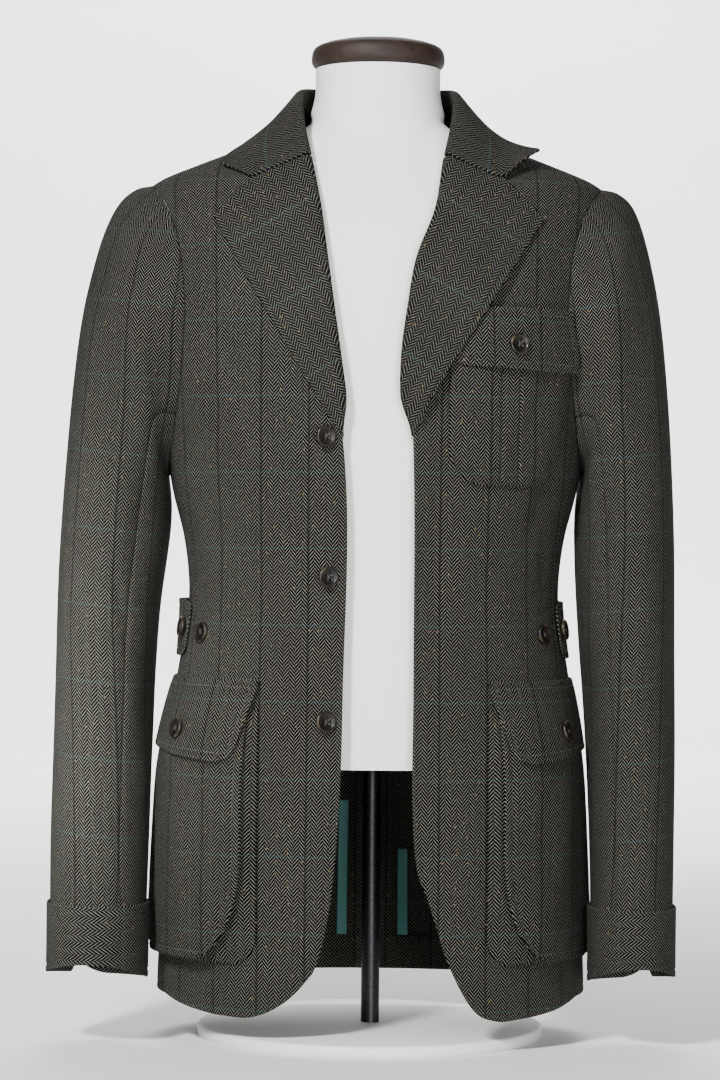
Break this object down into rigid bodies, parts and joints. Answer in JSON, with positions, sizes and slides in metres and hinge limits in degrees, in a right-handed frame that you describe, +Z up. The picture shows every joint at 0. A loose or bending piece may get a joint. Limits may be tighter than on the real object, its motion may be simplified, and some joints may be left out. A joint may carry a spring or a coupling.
{
  "type": "safari jacket on dress form",
  "caption": "Open safari jacket of herringbone tweed with notched lapels, bellows hip pockets and waist tabs, draped on a limbless dress form that stands on a round base.",
  "frame": {"origin": "centre of the base disc's underside", "axes": "+Z up, the front of the jacket faces -Y, +X points to the wearer's left"},
  "size_m": [0.537, 0.3, 0.864],
  "materials": {
    "tweed": "woven wool herringbone",
    "tweed_dark": "woven wool, inner side",
    "binding": "satin tape",
    "horn": "polished horn",
    "form_cloth": "stretched cotton",
    "wood": "stained and waxed",
    "steel": "dark satin",
    "base_paint": "satin"
  },
  "bodies": {
    "root": {"back_left": "tweed", "back_right": "tweed", "button_chest": "horn", "button_front_1": "horn", "button_front_2": "horn", "button_front_3": "horn", "button_hip_left": "horn", "button_hip_right": "horn", "button_tab_left": "horn", "button_tab_right": "horn", "button_waist_left": "horn", "button_waist_right": "horn", "chest_flap": "tweed", "chest_patch": "tweed", "collar": "tweed", "cuff_left": "tweed", "cuff_right": "tweed", "form_base": "base_paint", "form_cap": "wood", "form_pole": "steel", "form_torso": "form_cloth", "front_left": "tweed", "front_right": "tweed", "hem_facing_left": "tweed_dark", "hem_facing_right": "tweed_dark", "hip_flap_left": "tweed", "hip_flap_right": "tweed", "hip_gusset_left": "tweed_dark", "hip_gusset_right": "tweed_dark", "hip_patch_left": "tweed", "hip_patch_right": "tweed", "lapel_left": "tweed", "lapel_right": "tweed", "side_left": "tweed", "side_right": "tweed", "top_sleeve_left": "tweed", "top_sleeve_right": "tweed", "under_sleeve_left": "tweed", "under_sleeve_right": "tweed", "vent_binding_left": "binding", "vent_binding_right": "binding", "waist_tab_left": "tweed", "waist_tab_right": "tweed"}
  },
  "joints": []
}
